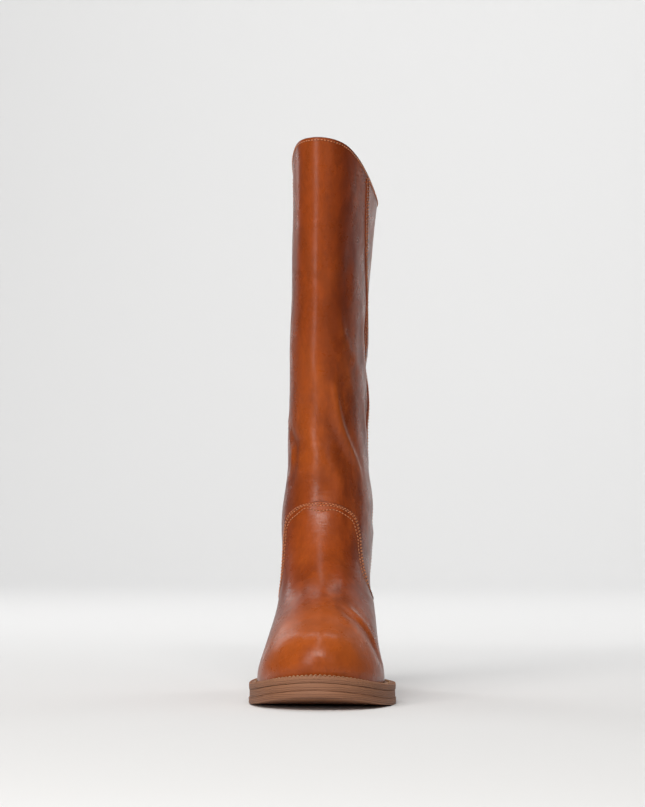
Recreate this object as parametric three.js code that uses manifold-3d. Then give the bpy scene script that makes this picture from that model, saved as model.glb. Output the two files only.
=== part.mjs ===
// Knee-high pull-on boot for the right foot: hollow leather upper with a tall shaft, a tongue-topped
// vamp overlay, insole, welt, midsole, outsole and block heel.
//
// Millimetres, +Z up. The toe points along -Y and the foot's inner (medial) side is +X.
// The origin is on the floor, at the middle of the heel's underside.
// "Along" is the distance from the back edge of the sole towards the toe.
import * as THREE from "three";
import { mergeVertices } from "three/addons/utils/BufferGeometryUtils.js";
import Module from "manifold-3d";

const wasm = await Module();
wasm.setup();

// ---- Driving dimensions ----
const SOLE_LENGTH = 270;
const BALL_WIDTH = 108.6; // outsole, across the ball
const HEEL_HEIGHT = 22; // block under the outsole
const HEEL_LENGTH = 66; // back edge to breast
const TOE_SPRING = 10;
const INSTEP_HEIGHT = 118; // top of the sole to the front of the ankle
const ANKLE_SHARE = 0.73; // height of the ankle's back over the heel seat, as a share of that
const BOOT_HEIGHT = 412; // floor to the collar's front peak
const BACK_HEIGHT = 370; // floor to the collar's back

const OUTSOLE = 4.5; // thickness of each layer
const MIDSOLE = 5.2;
const WELT = 4.4;
const MIDSOLE_INSET = 0.4; // its edge, behind those of the welt and outsole
const INSOLE_RISE = 3.2; // insole over the welt
const INSOLE_CLEARANCE = 2.4; // insole's edge to the upper's inner face
const WALL = 1.8; // leather and lining
const OVERLAY = 1.4; // vamp leather
const GAP = 0.3; // between pieces that meet
const VAMP_GAP = 0.5; // between the upper and the vamp, whose facets differ at its edge
const SOLE_TOP = OUTSOLE + MIDSOLE + WELT + 2 * GAP;

const LATERAL_MARGIN = 6.6; // sole edge to the upper's face at the forefoot, outer side
const MEDIAL_MARGIN = 9.5; // and inner side
const HEEL_MARGIN = 5.5; // and at the heel
const HEEL_TAPER = 3.2; // inset of the heel's underside
const HEEL_TOP_INSET = 0.6; // and of its top
const TREAD_START = 158; // flat stretch of the outsole under the ball
const TREAD_END = 196;
const TREAD_PITCH = 9.5;
const GROOVE_WIDTH = 2.5;
const GROOVE_DEPTH = 1.5;

const STATIONS = 18; // control points of every outline, back point first
const FRONT = STATIONS / 2; // station of the toe tip or shin
const PER_STATION = 3; // mesh steps between two of them
const AROUND = STATIONS * PER_STATION;
const UPPER_ROWS = 28; // mesh steps of the upper from feather line to collar
const BREAST_STATION = 2.83; // where the outline passes the heel's breast
const HEEL_STEPS = 12; // mesh steps from there to the back point

// ---- Sole outline: shares of the sole's length and of its ball width, from the heel's centre line ----
const OUTLINE = [
  { name: "heel back", along: 0, medial: 0, lateral: 0 },
  { name: "heel corner", along: 0.03, medial: 0.215, lateral: 0.215 },
  { name: "heel", along: 0.126, medial: 0.31, lateral: 0.31 },
  { name: "shank", along: 0.27, medial: 0.3, lateral: 0.318 },
  { name: "waist", along: 0.4, medial: 0.305, lateral: 0.345 },
  { name: "joint", along: 0.545, medial: 0.43, lateral: 0.405 },
  { name: "ball", along: 0.68, medial: 0.555, lateral: 0.425 },
  { name: "toe", along: 0.83, medial: 0.53, lateral: 0.362 },
  { name: "tip corner", along: 0.95, medial: 0.38, lateral: 0.19 },
  { name: "toe tip", along: 1, medial: 0.115, lateral: -0.115 },
];

// ---- Upper sections: each is a loop round the foot or leg, from the feather line up to the collar ----
// front, back   where the loop meets the ridge in front and the back line, shares of the sole's length
// frontRise,    heights of those two points: 0 is the top of the sole, 1 the ankle and 2 the collar
// backRise      (null: on top of the sole)
// frontX, backX sideways place of those two points
// foot          share of the sole's own outline in the loop
// oval          half width of the oval share of the loop, as a share of the ball width
// follow        how far the loop follows the curve of the sole's top
// dip           how far the loop follows the collar's S curve
const SECTIONS = [
  { name: "feather", front: 0.97, frontRise: null, back: 0.02, backRise: null,
    frontX: 12.5, backX: 0, foot: 0.985, oval: 0, follow: 1, dip: 0 },
  { name: "toe wall", front: 0.978, frontRise: 0.155, back: 0.011, backRise: 0.096,
    frontX: 12.3, backX: 0, foot: 0.97, oval: 0, follow: 1, dip: 0 },
  { name: "toe crown", front: 0.962, frontRise: 0.24, back: 0.009, backRise: 0.201,
    frontX: 12, backX: 0, foot: 0.895, oval: 0, follow: 0.9, dip: 0 },
  { name: "toe top", front: 0.925, frontRise: 0.316, back: 0.01, backRise: 0.294,
    frontX: 11.5, backX: 0, foot: 0.775, oval: 0.0276, follow: 0.75, dip: 0 },
  { name: "toe back", front: 0.865, frontRise: 0.38, back: 0.014, backRise: 0.387,
    frontX: 10.5, backX: 0, foot: 0.61, oval: 0.0783, follow: 0.55, dip: 0 },
  { name: "fore vamp", front: 0.79, frontRise: 0.443, back: 0.022, backRise: 0.479,
    frontX: 7.8, backX: 0, foot: 0.39, oval: 0.1565, follow: 0.35, dip: 0 },
  { name: "vamp", front: 0.71, frontRise: 0.536, back: 0.033, backRise: 0.584,
    frontX: 5.4, backX: 0, foot: 0.19, oval: 0.2302, follow: 0.18, dip: 0 },
  { name: "low instep", front: 0.64, frontRise: 0.672, back: 0.046, backRise: 0.7,
    frontX: 2.8, backX: -0.4, foot: 0.06, oval: 0.2799, follow: 0.06, dip: 0 },
  { name: "instep", front: 0.588, frontRise: 0.833, back: 0.058, backRise: 0.839,
    frontX: 1.6, backX: -0.6, foot: 0, oval: 0.3057, follow: 0, dip: 0 },
  { name: "ankle", front: 0.553, frontRise: 0.99, back: 0.068, backRise: 1.001,
    frontX: 1.1, backX: -0.8, foot: 0, oval: 0.3131, follow: 0, dip: 0 },
  { name: "ankle top", front: 0.535, frontRise: 1.062, back: 0.074, backRise: 1.069,
    frontX: 1.4, backX: -0.4, foot: 0, oval: 0.302, follow: 0, dip: 0 },
  { name: "shaft foot", front: 0.528, frontRise: 1.141, back: 0.073, backRise: 1.15,
    frontX: 1.5, backX: 0, foot: 0, oval: 0.2762, follow: 0, dip: 0 },
  { name: "low shaft", front: 0.525, frontRise: 1.241, back: 0.062, backRise: 1.264,
    frontX: 1, backX: 0, foot: 0, oval: 0.2652, follow: 0, dip: 0 },
  { name: "mid shaft", front: 0.527, frontRise: 1.42, back: 0.03, backRise: 1.474,
    frontX: -0.6, backX: 0.2, foot: 0, oval: 0.2551, follow: 0, dip: 0 },
  { name: "calf", front: 0.535, frontRise: 1.671, back: -0.012, backRise: 1.749,
    frontX: -0.2, backX: 2.2, foot: 0, oval: 0.2532, follow: 0, dip: 0.35 },
  { name: "below collar", front: 0.543, frontRise: 1.893, back: -0.03, backRise: 1.911,
    frontX: 0.8, backX: 6.5, foot: 0, oval: 0.2606, follow: 0, dip: 0.85 },
  { name: "collar", front: 0.548, frontRise: 2, back: -0.031, backRise: 2,
    frontX: 1, backX: 8.5, foot: 0, oval: 0.2707, follow: 0, dip: 1 },
];

// Where the vamp's side edge crosses each section, as a station counted from the back. The last rows
// round the top of its tongue.
const VAMP_EDGE = [
  { at: 0, station: 2.9 },
  { at: 2, station: 3.15 },
  { at: 3, station: 3.5 },
  { at: 4, station: 4.3 },
  { at: 5, station: 5.35 },
  { at: 5.8, station: 6.1 },
  { at: 6.6, station: 6.55 },
  { at: 7.6, station: 6.8 },
  { at: 8.4, station: 6.95 },
  { at: 9, station: 7.2 },
  { at: 9.25, station: 7.45 },
  { at: 9.45, station: 7.85 },
  { at: 9.6, station: 8.3 },
  { at: 9.7, station: 8.85 },
];
const TONGUE_ROWS = 4; // rows of that table that are mesh rows of their own

// ---- Small helpers ----
const mix = (a, b, t) => a + (b - a) * t;
const ease = (t) => t * t * (3 - 2 * t);
const clamp = (value, low, high) => Math.min(high, Math.max(low, value));
const clamp01 = (t) => clamp(t, 0, 1);

// Smooth value of one column of a table at a place between its rows (cubic Hermite).
function smooth(rows, keyOf, column, place) {
  let i = 0;
  while (i < rows.length - 2 && place > keyOf(rows[i + 1], i + 1)) i++;
  const slope = (k) => {
    const low = Math.max(0, k - 1);
    const high = Math.min(rows.length - 1, k + 1);
    return (column(rows[high]) - column(rows[low])) / (keyOf(rows[high], high) - keyOf(rows[low], low));
  };
  const step = keyOf(rows[i + 1], i + 1) - keyOf(rows[i], i);
  const t = clamp01((place - keyOf(rows[i], i)) / step);
  const a = column(rows[i]);
  const b = column(rows[i + 1]);
  const start = slope(i) * step;
  const end = slope(i + 1) * step;
  return a + start * t + (3 * (b - a) - 2 * start - end) * t * t + (start + end - 2 * (b - a)) * t * t * t;
}

// ---- Sole ----
// Height of the outsole's underside over the floor: heel seat, arch, flat tread, toe spring.
function soleBottom(along) {
  if (along <= HEEL_LENGTH) return HEEL_HEIGHT;
  if (along < TREAD_START) {
    const share = (along - HEEL_LENGTH) / (TREAD_START - HEEL_LENGTH);
    return (HEEL_HEIGHT * (1 + Math.cos(Math.PI * share))) / 2;
  }
  if (along <= TREAD_END) return 0;
  return TOE_SPRING * ((along - TREAD_END) / (SOLE_LENGTH - TREAD_END)) ** 2;
}

// The row of the outline table at a station, counted round from the back by the lateral side.
function outlineRow(station) {
  const lateral = station <= FRONT;
  const row = OUTLINE[lateral ? station : STATIONS - station];
  const across = lateral ? -row.lateral : row.medial;
  return { along: row.along * SOLE_LENGTH, across: across * BALL_WIDTH };
}

const outline = new THREE.CatmullRomCurve3(
  Array.from({ length: STATIONS }, (_, k) => {
    const { along, across } = outlineRow(k);
    return new THREE.Vector3(across, along, 0);
  }),
  true,
);

// Distance from the sole's edge to the upper's face; the inner side shows more welt.
function margin(along, medial) {
  const fore = medial ? MEDIAL_MARGIN : LATERAL_MARGIN;
  return mix(HEEL_MARGIN, fore, ease(clamp01(along / TREAD_START)));
}

// A point of the outline, moved in from the edge, as (across, along).
function outlinePoint(station, inset) {
  const t = (((station % STATIONS) + STATIONS) % STATIONS) / STATIONS;
  const point = outline.getPoint(t);
  const tangent = outline.getTangent(t);
  return new THREE.Vector2(point.x + tangent.y * inset, point.y - tangent.x * inset);
}

// A point in the part's own frame from its place across and along the foot and its height.
function placed(across, along, height) {
  return new THREE.Vector3(across, HEEL_LENGTH / 2 - along, height);
}

// ---- Meshes from rings of points ----
// Rings are lists of equal length. Each ring is joined to the next one, and the last to the first
// where the tube closes on itself; otherwise the ends stay open for a cap.
class Faces {
  constructor() {
    this.points = [];
    this.triangles = [];
    this.known = new Map();
  }
  // Number of a point; points in one place share a number.
  add(point) {
    const key = point.toArray().map((value) => value.toFixed(4)).join();
    if (!this.known.has(key)) {
      this.known.set(key, this.points.length / 3);
      this.points.push(...point.toArray());
    }
    return this.known.get(key);
  }
  triangle(a, b, c) {
    if (a !== b && b !== c && c !== a) this.triangles.push(a, b, c);
  }
  quad(a, b, c, d) {
    this.triangle(a, b, c);
    this.triangle(a, c, d);
  }
  // Rows of points joined to their neighbours; wrap joins each row's end to its start.
  grid(rows, wrap) {
    const ids = rows.map((row) => row.map((point) => this.add(point)));
    this.join(ids, wrap);
    return ids;
  }
  join(ids, wrap) {
    for (let j = 0; j + 1 < ids.length; j++) {
      const count = ids[j].length;
      for (let i = 0; i < (wrap ? count : count - 1); i++) {
        const next = (i + 1) % count;
        this.quad(ids[j][i], ids[j][next], ids[j + 1][next], ids[j + 1][i]);
      }
    }
  }
  // Cap over a ring whose first point is the back and whose middle point is the front.
  cap(ring, up) {
    const count = ring.length;
    for (let i = 0; i < count / 2; i++) {
      const [a, b, c, d] = [ring[i], ring[i + 1], ring[(count - i - 1) % count], ring[(count - i) % count]];
      if (up) this.quad(a, b, c, d);
      else this.quad(d, c, b, a);
    }
  }
  // Two facing sheets, closed along their edges.
  sheet(outerRows, innerRows) {
    const outer = this.grid(outerRows, false);
    const inner = this.grid(innerRows.toReversed(), false).reverse();
    const rim = (ids) => [
      ...ids[0],
      ...ids.slice(1, -1).map((row) => row.at(-1)),
      ...ids.at(-1).toReversed(),
      ...ids.slice(1, -1).map((row) => row[0]).reverse(),
    ];
    this.join([rim(inner), rim(outer)], true);
  }
  geometry() {
    const geometry = new THREE.BufferGeometry();
    geometry.setAttribute("position", new THREE.Float32BufferAttribute(this.points, 3));
    geometry.setIndex(this.triangles);
    geometry.computeVertexNormals();
    return geometry;
  }
}

const ringStations = Array.from({ length: AROUND }, (_, i) => i / PER_STATION);

// Ring round the sole at an inset (a number, or a function of the place along and the side), at a
// height over the outsole's underside.
function soleRing(inset, rise) {
  return ringStations.map((station) => {
    const edge = outline.getPoint(station / STATIONS);
    const distance = typeof inset === "function" ? inset(edge.y, station > FRONT) : inset;
    const point = outlinePoint(station, distance);
    return placed(point.x, point.y, soleBottom(point.y) + rise);
  });
}

// Slab between two heights over the outsole's underside, following arch and toe spring.
function soleLayer(inset, low, high) {
  const faces = new Faces();
  const [bottom, top] = faces.grid([soleRing(inset, low), soleRing(inset, high)], true);
  faces.cap(bottom, false);
  faces.cap(top, true);
  return faces.geometry();
}

// Strip round the sole between its edge and an inner line.
function soleStrip(inner, low, high) {
  const faces = new Faces();
  const rings = [soleRing(0, low), soleRing(0, high), soleRing(inner, high), soleRing(inner, low)];
  const ids = faces.grid(rings, true);
  faces.join([ids[3], ids[0]], true);
  return faces.geometry();
}

// Block under the heel seat: the outline's back part, closed by a straight breast.
function heelBlock() {
  const steps = HEEL_STEPS;
  const ring = (inset, height) =>
    Array.from({ length: 2 * steps + 1 }, (_, i) => {
      const point = outlinePoint(mix(-BREAST_STATION, BREAST_STATION, i / (2 * steps)), inset);
      return placed(point.x, Math.min(point.y, HEEL_LENGTH - inset), height);
    });
  const faces = new Faces();
  const rings = [ring(HEEL_TAPER, 0), ring(HEEL_TOP_INSET, HEEL_HEIGHT - GAP)];
  const [bottom, top] = faces.grid(rings, true);
  for (let i = 0; i < steps; i++) {
    const far = 2 * steps - i;
    faces.quad(bottom[far], bottom[far - 1], bottom[i + 1], bottom[i]);
    faces.quad(top[i], top[i + 1], top[far - 1], top[far]);
  }
  return faces.geometry();
}

// ---- Upper ----
const LAST_SECTION = SECTIONS.length - 1;
const SHAFT_EXPONENT = 2.25; // 2 is an ellipse, more is flatter sided
const COLLAR_WAVE = 1.8; // the collar's fall is half a wave and half a ramp; higher exponents
const COLLAR_RAMP = 1.5; // move each of them towards the front
const COLLAR_SKEW = 0.2; // the collar stays high towards the outer side, by this share of the place across
const FEATHER_Z = SOLE_TOP + 2 * GAP; // over the outsole's underside, clear of the welt's facets

// Heights from the sole's top by the ankle to the collar, up the front and up the back.
const FRONT_LINE = [SOLE_TOP, SOLE_TOP + INSTEP_HEIGHT, BOOT_HEIGHT];
const HEEL_SEAT = HEEL_HEIGHT + SOLE_TOP;
const BACK_LINE = [HEEL_SEAT, HEEL_SEAT + ANKLE_SHARE * INSTEP_HEIGHT, BACK_HEIGHT];
const riseOn = ([foot, ankle, collar], rise) =>
  rise <= 1 ? mix(foot, ankle, rise) : mix(ankle, collar, rise - 1);

const sectionKey = (row, index) => index;
const upperPlaces = Array.from({ length: UPPER_ROWS + 1 }, (_, j) => (j / UPPER_ROWS) * LAST_SECTION);

// Section at a place between the rows of the table, every column smoothed.
function sectionAt(place) {
  const column = (read) => smooth(SECTIONS, sectionKey, read, place);
  const featherZ = (share) => soleBottom(share * SOLE_LENGTH) + FEATHER_Z;
  const heightOn = (line, rise, share) => (rise === null ? featherZ(share) : riseOn(line, rise));
  return {
    front: column((row) => row.front) * SOLE_LENGTH,
    back: column((row) => row.back) * SOLE_LENGTH,
    frontZ: column((row) => heightOn(FRONT_LINE, row.frontRise, row.front)),
    backZ: column((row) => heightOn(BACK_LINE, row.backRise, row.back)),
    frontX: column((row) => row.frontX),
    backX: column((row) => row.backX),
    foot: column((row) => row.foot),
    oval: Math.max(0, column((row) => row.oval)) * BALL_WIDTH,
    follow: clamp01(column((row) => row.follow)),
    dip: clamp01(column((row) => row.dip)),
  };
}

// Plan of one section: a closed curve round the foot or leg, as (across, along).
function sectionPlan(section) {
  const points = Array.from({ length: STATIONS }, (_, k) => {
    const row = outlineRow(k);
    const share = row.along / SOLE_LENGTH;
    const lateral = outlinePoint(Math.min(k, STATIONS - k), margin(row.along, false));
    const medial = outlinePoint(Math.max(k, STATIONS - k), margin(row.along, true));
    const side = k < FRONT ? -1 : 1;
    const footHalf = k % FRONT === 0 ? 0 : (medial.x - lateral.x) / 2;
    const footCentre = (medial.x + lateral.x) / 2;
    const ovalHalf = (1 - Math.abs(2 * share - 1) ** SHAFT_EXPONENT) ** (1 / SHAFT_EXPONENT);
    const half = section.foot * footHalf + section.oval * ovalHalf;
    const chord = mix(section.backX, section.frontX, share);
    const centre = mix(chord, footCentre, clamp01(section.foot));
    return new THREE.Vector3(centre + side * half, mix(section.back, section.front, share), 0);
  });
  return new THREE.CatmullRomCurve3(points, true);
}

// Height of a section's loop at a place across and along the foot.
function sectionHeight(section, across, along) {
  const skewed = along - section.dip * COLLAR_SKEW * across;
  const share = clamp01((skewed - section.back) / (section.front - section.back));
  const straight = mix(section.backZ, section.frontZ, share);
  const ends = mix(soleBottom(section.back), soleBottom(section.front), share);
  const wave = (1 - Math.cos(Math.PI * share ** COLLAR_WAVE)) / 2;
  const ramp = share ** COLLAR_RAMP;
  const collar = mix(section.backZ, section.frontZ, (wave + ramp) / 2);
  return mix(straight, collar, section.dip) + section.follow * (soleBottom(along) - ends);
}

// Outer face of the upper as rows of points with their outward normals: one row for each place
// between the sections, one point for each station.
function upperFace(places, stationsAt) {
  const nudge = 0.02;
  const made = new Map();
  const at = (place, station) => {
    const key = clamp(place, 0, LAST_SECTION);
    if (!made.has(key)) {
      const section = sectionAt(key);
      made.set(key, { section, plan: sectionPlan(section) });
    }
    const { section, plan } = made.get(key);
    const point = plan.getPoint(((station + STATIONS) % STATIONS) / STATIONS);
    return placed(point.x, point.y, sectionHeight(section, point.x, point.y));
  };
  return places.map((place) =>
    stationsAt(place).map((station) => {
      const along = at(place, station + nudge).sub(at(place, station - nudge));
      const up = at(place + nudge, station).sub(at(place - nudge, station));
      return { point: at(place, station), normal: along.cross(up).normalize() };
    }),
  );
}

// Rows of points at a distance outside (or, below zero, inside) the upper's face, never under the
// top of the sole.
function offset(face, distance) {
  return face.map((row) =>
    row.map(({ point, normal }) => {
      const moved = point.clone().addScaledVector(normal, distance);
      const floor = soleBottom(HEEL_LENGTH / 2 - moved.y) + FEATHER_Z;
      moved.z = Math.max(moved.z, Math.min(floor, point.z));
      return moved;
    }),
  );
}

// Hollow wall from the feather line to the collar, open at both ends.
function upperWall() {
  const face = upperFace(upperPlaces, () => ringStations);
  const faces = new Faces();
  const outer = faces.grid(offset(face, 0), true);
  const inner = faces.grid(offset(face, -WALL).reverse(), true);
  faces.join([outer.at(-1), inner[0]], true);
  faces.join([inner.at(-1), outer[0]], true);
  return faces.geometry();
}

// Overlay over the forefoot and instep, cut between two larger forms of the upper's own face.
function vampOverlay() {
  const tongue = VAMP_EDGE.slice(-TONGUE_ROWS).map((row) => row.at);
  const places = [...upperPlaces.filter((place) => place < tongue[0]), ...tongue];
  const edge = (place) => smooth(VAMP_EDGE, (row) => row.at, (row) => row.station, place);
  const face = upperFace(places, (place) =>
    ringStations.map((station) => clamp(station, edge(place), STATIONS - edge(place))),
  );
  const faces = new Faces();
  faces.sheet(offset(face, VAMP_GAP + OVERLAY), offset(face, VAMP_GAP));
  return faces.geometry();
}

// ---- Tread: bars left by shallow grooves across the flat under the ball ----
function outsoleSolid() {
  let solid = manifold(soleLayer(0, 0, OUTSOLE));
  for (let along = TREAD_START + TREAD_PITCH / 2; along < TREAD_END; along += TREAD_PITCH) {
    const cutter = new THREE.BoxGeometry(2 * BALL_WIDTH, GROOVE_WIDTH, 2 * GROOVE_DEPTH);
    const place = placed(0, along, 0);
    cutter.translate(place.x, place.y, place.z);
    solid = solid.subtract(manifold(cutter));
  }
  return bufferGeometry(solid);
}

// A closed three.js geometry as a manifold-3d solid, and back.
function manifold(geometry) {
  const bare = geometry.clone();
  bare.deleteAttribute("normal");
  bare.deleteAttribute("uv");
  const merged = mergeVertices(bare, 1e-4);
  return new wasm.Manifold(
    new wasm.Mesh({
      numProp: 3,
      vertProperties: merged.getAttribute("position").array,
      triVerts: new Uint32Array(merged.index.array),
    }),
  );
}

function bufferGeometry(solid) {
  const mesh = solid.getMesh();
  const geometry = new THREE.BufferGeometry();
  geometry.setAttribute("position", new THREE.Float32BufferAttribute(mesh.vertProperties, mesh.numProp));
  geometry.setIndex(Array.from(mesh.triVerts));
  geometry.computeVertexNormals();
  return geometry;
}

// ---- The boot ----
const leather = { color: 0x9c4a1c, roughness: 0.42, metalness: 0 };
const sole = { color: 0x93623f, roughness: 0.7, metalness: 0 };
const lining = { color: 0xb98a5e, roughness: 0.8, metalness: 0 };

const midsoleLow = OUTSOLE + GAP;
const weltLow = midsoleLow + MIDSOLE + GAP;
const innerMargin = (along, medial) => margin(along, medial) + WALL;

const boot = new THREE.Group();
const pieces = [
  { name: "outsole", geometry: outsoleSolid(), look: sole },
  { name: "heel", geometry: heelBlock(), look: sole },
  { name: "midsole", geometry: soleLayer(MIDSOLE_INSET, midsoleLow, midsoleLow + MIDSOLE), look: sole },
  {
    name: "welt",
    geometry: soleStrip((along, medial) => innerMargin(along, medial) + GAP, weltLow, weltLow + WELT),
    look: sole,
  },
  {
    name: "insole",
    geometry: soleLayer(
      (along, medial) => innerMargin(along, medial) + INSOLE_CLEARANCE,
      weltLow,
      SOLE_TOP + INSOLE_RISE,
    ),
    look: lining,
  },
  { name: "upper", geometry: upperWall(), look: leather },
  { name: "vamp", geometry: vampOverlay(), look: leather },
];
for (const { name, geometry, look } of pieces) {
  const mesh = new THREE.Mesh(geometry, new THREE.MeshStandardMaterial(look));
  mesh.name = name;
  boot.add(mesh);
}

export default boot;
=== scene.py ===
"""Finishes a knee-high leather boot around its solids: upper, vamp, seams, stitches, sole, studio."""

import math
from collections import namedtuple

import bmesh
import bpy
import numpy as np
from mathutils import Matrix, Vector
from mathutils.bvhtree import BVHTree


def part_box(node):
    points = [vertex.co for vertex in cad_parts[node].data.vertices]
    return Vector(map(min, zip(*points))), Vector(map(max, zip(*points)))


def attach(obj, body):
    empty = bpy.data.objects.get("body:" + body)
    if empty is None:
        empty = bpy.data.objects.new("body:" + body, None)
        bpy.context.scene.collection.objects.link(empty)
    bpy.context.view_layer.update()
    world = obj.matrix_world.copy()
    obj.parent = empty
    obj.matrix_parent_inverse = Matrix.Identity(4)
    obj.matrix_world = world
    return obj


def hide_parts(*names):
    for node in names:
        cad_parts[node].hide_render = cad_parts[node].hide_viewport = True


bl_info = {
    "name": "Knee-high boot finish",
    "version": (1, 0, 0),
    "blender": (4, 5, 0),
    "location": "3D View > Sidebar > Boot",
    "description": "Leather, stitches, sole finish and a plain studio around a boot's solids",
    "category": "Object",
}

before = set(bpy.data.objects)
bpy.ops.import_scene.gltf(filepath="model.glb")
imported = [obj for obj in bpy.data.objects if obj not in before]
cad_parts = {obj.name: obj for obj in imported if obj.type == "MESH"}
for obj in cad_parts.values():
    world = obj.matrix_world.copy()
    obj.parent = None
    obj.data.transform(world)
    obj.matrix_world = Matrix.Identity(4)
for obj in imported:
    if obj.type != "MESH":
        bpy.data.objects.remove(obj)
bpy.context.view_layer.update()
BODY = "root"
MM = 0.001

FEATHER_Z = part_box("vamp")[0].z  # where the upper meets the welt at the forefoot
SHAFT_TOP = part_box("upper")[1].z
UP = Vector((0, 0, 1))
WALL_ANGLE = 50  # degrees between a wall of leather and its cut edge
SOLE_ANGLE = 40  # and between two faces of the sole
SMOOTH_ANGLE = 50  # faces that meet at less are shaded as one
OWN_MATERIAL = -1  # a bevel keeps the material that it cuts

STORE = {}  # surfaces and lines of one piece that later pieces are laid on


# ---------------------------------------------------------------- settings

def length_property(label, text, default):
    return bpy.props.FloatProperty(name=label, description=text, default=default, unit="LENGTH")


def hex_property(label, text, default):
    return bpy.props.StringProperty(name=label, description=text, default=default)


class BootSizes(bpy.types.PropertyGroup):
    stitch_pitch: length_property("Stitch pitch", "From one upper stitch to the next", 2.5 * MM)
    thread_width: length_property("Thread width", "Width of the thread on the upper", 0.75 * MM)
    welt_pitch: length_property("Welt pitch", "From one notch of the welt to the next", 3.3 * MM)
    collar_inset: length_property("Collar stitch inset", "Row below the collar's edge", 2.1 * MM)
    seam_width: length_property("Side seam width", "Strip that covers each side seam", 7.0 * MM)


class BootColours(bpy.types.PropertyGroup):
    leather: hex_property("Leather", "Main tone of the burnished leather", "#86350F")
    # Also the colour of the painted light on the toe, the vamp, the shaft's outer front and the fold
    # crests.
    leather_light: hex_property("Leather, worn", "Toe and ridges, where polish has lifted", "#B3581F")
    # Also the colour of the painted shade in the folds, behind the toe box and down the shaft's inner
    # front.
    leather_dark: hex_property("Leather, dark", "Patches where the dye has taken most", "#5C2008")
    lining: hex_property("Lining", "Inside of the upper", "#B58D62")
    cut_edge: hex_property("Cut edge", "Dyed edge of the leather", "#3A1A0C")
    thread: hex_property("Thread", "Stitches of the upper", "#CE8456")
    sole: hex_property("Sole", "Welt, midsole, outsole and heel", "#87573B")
    groove: hex_property("Sole groove", "Grooves and joints of the sole", "#5E3826")
    footbed: hex_property("Footbed", "Insole leather", "#B08458")
    studio: hex_property("Studio", "Floor and backdrop", "#E7E7E7")


class StudioSettings(bpy.types.PropertyGroup):
    camera_turn: bpy.props.FloatProperty(
        name="Camera turn",
        description="Camera's turn round the boot from straight ahead, to the inner side",
        default=math.radians(6),
        subtype="ANGLE",
    )
    camera_distance: length_property("Camera distance", "From the boot's middle to the camera", 2.5)
    camera_height: length_property("Camera height", "Height of the camera over the floor", 0.185)


def sizes():
    return bpy.context.scene.boot_sizes


def colours():
    return bpy.context.scene.boot_colours


def linear(hex_colour):
    """sRGB hex to the linear colour that a shader takes."""
    channels = [int(hex_colour[i:i + 2], 16) / 255 for i in (1, 3, 5)]
    return (*[c / 12.92 if c <= 0.04045 else ((c + 0.055) / 1.055) ** 2.4 for c in channels], 1.0)


# ---------------------------------------------------------------- shader helpers

def new_material(name):
    """An empty node material, its tree and its surface shader."""
    made = bpy.data.materials.new(name)
    made.use_nodes = True
    tree = made.node_tree
    shader = tree.nodes["Principled BSDF"]
    return made, tree, shader


def set_inputs(tree, node, inputs):
    """Sets each named input of a node to a value, or links it where a socket is given."""
    for name, value in inputs.items():
        socket = node.inputs[name]
        if isinstance(value, bpy.types.NodeSocket):
            tree.links.new(value, socket)
        else:
            socket.default_value = value


def add_node(tree, kind, settings=None, inputs=None):
    """One shader node with its settings and its inputs."""
    made = tree.nodes.new(kind)
    for name, value in (settings or {}).items():
        setattr(made, name, value)
    set_inputs(tree, made, inputs or {})
    return made


def place_in(tree, scale=(1, 1, 1)):
    """Object coordinates, stretched by a scale for each axis."""
    where = add_node(tree, "ShaderNodeTexCoord")
    return add_node(
        tree,
        "ShaderNodeMapping",
        inputs={"Vector": where.outputs["Object"], "Scale": scale},
    ).outputs["Vector"]


def noise(tree, where, size, detail=2.0, roughness=0.5, distortion=0.0):
    """Soft noise whose blotches are about the given size in metres."""
    return add_node(
        tree,
        "ShaderNodeTexNoise",
        inputs={
            "Vector": where,
            "Scale": 1 / size,
            "Detail": detail,
            "Roughness": roughness,
            "Distortion": distortion,
        },
    ).outputs["Fac"]


def between(tree, value, low, high, to_low=0.0, to_high=1.0):
    """A value eased from one range to another."""
    return add_node(
        tree,
        "ShaderNodeMapRange",
        {"interpolation_type": "SMOOTHSTEP"},
        {"Value": value, "From Min": low, "From Max": high, "To Min": to_low, "To Max": to_high},
    ).outputs["Result"]


def blend_colours(tree, share, first, second):
    """Two colours mixed by a share, which may be a number or a socket."""
    return add_node(
        tree,
        "ShaderNodeMix",
        {"data_type": "RGBA", "clamp_factor": True},
        {0: share, 6: first, 7: second},
    ).outputs[2]


def maths(tree, operation, first, second=0.0, third=0.0):
    inputs = {0: first, 1: second, 2: third}
    return add_node(tree, "ShaderNodeMath", {"operation": operation}, inputs).outputs[0]


def layered(tree, base, layers):
    """A base colour under layers, each with its mask, its share of the mask and its hex colour."""
    tone = linear(base)
    for mask, share, over in layers:
        tone = blend_colours(tree, maths(tree, "MULTIPLY", mask, share), tone, linear(over))
    return tone


def attribute(tree, name):
    return add_node(tree, "ShaderNodeAttribute", {"attribute_name": name}).outputs["Fac"]


def bump(tree, height, distance, strength=1.0, under=None):
    """Bump of a real height in metres, over another bump where one is given."""
    inputs = {"Height": height, "Distance": distance, "Strength": strength}
    if under is not None:
        inputs["Normal"] = under
    return add_node(tree, "ShaderNodeBump", inputs=inputs).outputs["Normal"]


# ---------------------------------------------------------------- mesh helpers

def select_none():
    bpy.ops.object.select_all(action="DESELECT")


def select_only(obj):
    select_none()
    obj.hide_set(False)
    obj.select_set(True)
    bpy.context.view_layer.objects.active = obj


def add_piece(name, mesh):
    """An object for a mesh, the only one selected."""
    piece = bpy.data.objects.new(name, mesh)
    bpy.context.scene.collection.objects.link(piece)
    select_only(piece)
    return piece


def apply_modifier(piece, kind, **settings):
    """Gives the active piece a modifier with its settings, and applies it."""
    made = piece.modifiers.new(kind.lower(), kind)
    for name, value in settings.items():
        setattr(made, name, value)
    bpy.ops.object.modifier_apply(modifier=made.name)


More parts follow.
